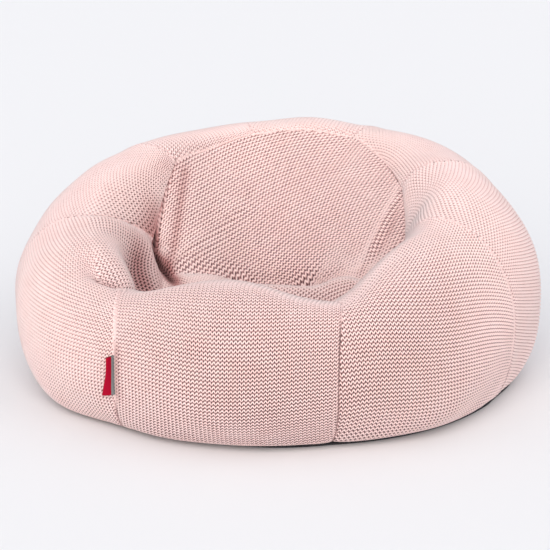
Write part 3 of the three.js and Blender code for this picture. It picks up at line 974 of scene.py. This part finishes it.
# %% Spun cotton knit
# From the ridge of the yarn down into the hole: the yarn's own pink, then painted shade.
YARN_AND_SHADE_COLOURS = [
    (0.0, "#fbebea"),
    (0.25, "#f4dcdb"),
    (0.5, "#c8abaa"),
    (0.75, "#684a4e"),
    (1.0, "#382328"),
]
# From open cloth to the bottom of a fold, where light has passed from yarn to yarn and is rosier.
SHADE_COLOURS = [(0.0, "#ffffff"), (0.5, "#c29d9d"), (1.0, "#4a2b2d")]
# Fibres are a few hundredths of a millimetre thick. They are drawn coarser, or they wouldn't show.
FIBRE = 0.5
# Dye takes a little unevenly, in patches a few centimetres wide.
DYE_PATCH = 35.0

cotton, tree, shader = new_material("spun_cotton_knit")
place = add(tree, "ShaderNodeTexCoord").outputs["Object"]
# The painted shade of the holes picks a colour from the yarn's pink down to the rosy brown of a hole.
depth = add(tree, "ShaderNodeAttribute", {"attribute_name": "hole_shade"}).outputs["Fac"]
yarn = add(tree, "ShaderNodeValToRGB", {"stops": YARN_AND_SHADE_COLOURS}, Fac=depth).outputs["Color"]
patch = add(tree, "ShaderNodeTexNoise", Vector=place, Scale=1 / (DYE_PATCH * MM), Detail=3.0).outputs["Fac"]
tint = add(
    tree, "ShaderNodeMix", {"data_type": "RGBA", "blend_type": "MULTIPLY"},
    i0=patch, i6=yarn, i7=linear("#fbf0ee"),
)
shade = add(tree, "ShaderNodeAttribute", {"attribute_name": "shade"}).outputs["Fac"]
dusk = add(tree, "ShaderNodeValToRGB", {"stops": SHADE_COLOURS}, Fac=shade).outputs["Color"]
dim = add(
    tree, "ShaderNodeMix", {"data_type": "RGBA", "blend_type": "MULTIPLY"},
    i0=1.0, i6=tint.outputs[2], i7=dusk,
)
tree.links.new(dim.outputs[2], shader.inputs["Base Color"])
fibre = add(tree, "ShaderNodeTexNoise", Vector=place, Scale=1 / (FIBRE * MM), Detail=2.0).outputs["Fac"]
fuzz = add(tree, "ShaderNodeBump", Strength=0.35, Distance=0.4 * MM, Height=fibre)
tree.links.new(fuzz.outputs["Normal"], shader.inputs["Normal"])
shader.inputs["Roughness"].default_value = 0.95
shader.inputs["IOR"].default_value = 1.5
shader.inputs["Specular IOR Level"].default_value = 0.2
shader.inputs["Sheen Weight"].default_value = 0.18
shader.inputs["Sheen Roughness"].default_value = 0.6
shader.inputs["Sheen Tint"].default_value = linear("#fff0ea")
for piece in (*gores.values(), seat):
    piece.data.materials.append(cotton)
print("cotton on", len(gores) + 1, "pieces")

# %% [markdown]
# The base is a dark polyester canvas. It is a plain weave, so warp and weft cross as a fine grid.

# %% Polyester canvas
# Real threads are about half as wide. They are drawn coarser so that the weave shows close up.
THREAD = 1.0
# With its scale divided by this, one wave of the wave texture is two threads wide.
WAVE_SCALE = 6.3

canvas, tree, shader = new_material("woven_polyester_canvas")
place = add(tree, "ShaderNodeTexCoord").outputs["Object"]
waves = [
    add(
        tree, "ShaderNodeTexWave", {"bands_direction": way},
        Vector=place, Scale=1 / (THREAD * MM) / WAVE_SCALE,
    )
    for way in ("X", "Y")
]
warp, weft = (wave.outputs["Fac"] for wave in waves)
weave = add(tree, "ShaderNodeMath", {"operation": "MULTIPLY"}, i0=warp, i1=weft)
tint = add(
    tree, "ShaderNodeMix", {"data_type": "RGBA"},
    i0=weave.outputs[0], i6=linear("#232227"), i7=linear("#38373d"),
)
tree.links.new(tint.outputs[2], shader.inputs["Base Color"])
raised = add(tree, "ShaderNodeBump", Strength=0.5, Distance=0.3 * MM, Height=weave.outputs[0])
tree.links.new(raised.outputs["Normal"], shader.inputs["Normal"])
shader.inputs["Roughness"].default_value = 0.8
base.data.materials.append(canvas)
print("canvas on the base")

# %% [markdown]
# The label is a close satin ribbon in polyester. Its threads run up and down, and it shines a little.

# %% Satin ribbon
# Real ribs are a quarter of this, too fine to show.
RIBBON_RIB = 0.8
GREY_PART = 0.42

satin, tree, shader = new_material("woven_satin_ribbon")
place = add(tree, "ShaderNodeTexCoord").outputs["Object"]
out = add(tree, "ShaderNodeAttribute", {"attribute_name": "reach"}).outputs["Fac"]
is_red = add(tree, "ShaderNodeMath", {"operation": "GREATER_THAN"}, i0=out, i1=GREY_PART).outputs[0]
rib = add(
    tree, "ShaderNodeTexWave", {"bands_direction": "Z"},
    Vector=place, Scale=1 / (RIBBON_RIB * MM) / WAVE_SCALE,
)
height = rib.outputs["Fac"]
red, grey = (
    add(tree, "ShaderNodeMix", {"data_type": "RGBA"}, i0=height, i6=linear(dark), i7=linear(light))
    for dark, light in (("#74001a", "#b8002e"), ("#5f6566", "#8e9393"))
)
tint = add(tree, "ShaderNodeMix", {"data_type": "RGBA"}, i0=is_red, i6=grey.outputs[2], i7=red.outputs[2])
tree.links.new(tint.outputs[2], shader.inputs["Base Color"])
raised = add(tree, "ShaderNodeBump", Strength=0.4, Distance=0.2 * MM, Height=height)
tree.links.new(raised.outputs["Normal"], shader.inputs["Normal"])
shader.inputs["Roughness"].default_value = 0.55
shader.inputs["Specular IOR Level"].default_value = 0.1
label.data.materials.append(satin)
print("satin on the label")

# %% [markdown]
# ## Floor and light
# The photograph is a bright studio shot: a white floor that runs into a white wall, and soft light from
# all round, with most of it from the front and a little from the right. A plain floor, a pale world and
# two large soft lamps give that, with a faint third on the left.

# %% Floor
FLOOR_HALF = 30.0
mesh = bpy.data.meshes.new("floor")
mesh.from_pydata([(x, y, 0) for x, y in [(-1, -1), (1, -1), (1, 1), (-1, 1)]], [], [(0, 1, 2, 3)])
mesh.transform(Matrix.Scale(FLOOR_HALF, 4))
floor = bpy.data.objects.new("floor", mesh)
bpy.context.collection.objects.link(floor)
paper, tree, shader = new_material("white_backdrop_paper")
shader.inputs["Base Color"].default_value = linear("#ebecee")
shader.inputs["Roughness"].default_value = 0.9
shader.inputs["Specular IOR Level"].default_value = 0.1
floor.data.materials.append(paper)
print("floor of", 2 * FLOOR_HALF, "metres")

# %% World and lamps
WORLD_LIGHT = 0.72
# Where each lamp stands, seen from the pouf, how wide its light spreads, and its strength.
LAMPS = {
    "left": ((-0.6, 0.0, 1.0), 60, 0.02),
    "right": ((1.0, -0.3, 0.4), 60, 0.45),
    "front": ((-0.12, -1.0, 0.57), 60, 2.75),
}
world = bpy.data.worlds.new("studio")
world.use_nodes = True
world.node_tree.nodes["Background"].inputs["Color"].default_value = linear("#edf2fb")
world.node_tree.nodes["Background"].inputs["Strength"].default_value = WORLD_LIGHT
bpy.context.scene.world = world
for name, (way, spread, strength) in LAMPS.items():
    lamp = bpy.data.objects.new(f"lamp_{name}", bpy.data.lights.new(f"lamp_{name}", "SUN"))
    lamp.data.angle = math.radians(spread)
    lamp.data.energy = strength
    lamp.data.color = linear("#fff6ed")[:3]
    lamp.location = way
    lamp.rotation_euler = (-Vector(way)).to_track_quat("-Z", "Y").to_euler()
    bpy.context.collection.objects.link(lamp)
bpy.context.scene.view_settings.view_transform = "Standard"
print("lamps:", ", ".join(LAMPS))

# %% [markdown]
# ## The pieces and their solids
# Each piece rides on the one body, and the solid that it takes the place of is hidden.

# %% Tie the pieces to the frame
for name, piece in gores.items():
    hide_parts(f"gore_{name}")
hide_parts("seat_panel")
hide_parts("base_panel")
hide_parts("side_label")
for piece in (*gores.values(), seat, base, label):
    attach(piece, "root")
print("pieces:", len(gores) + 3)
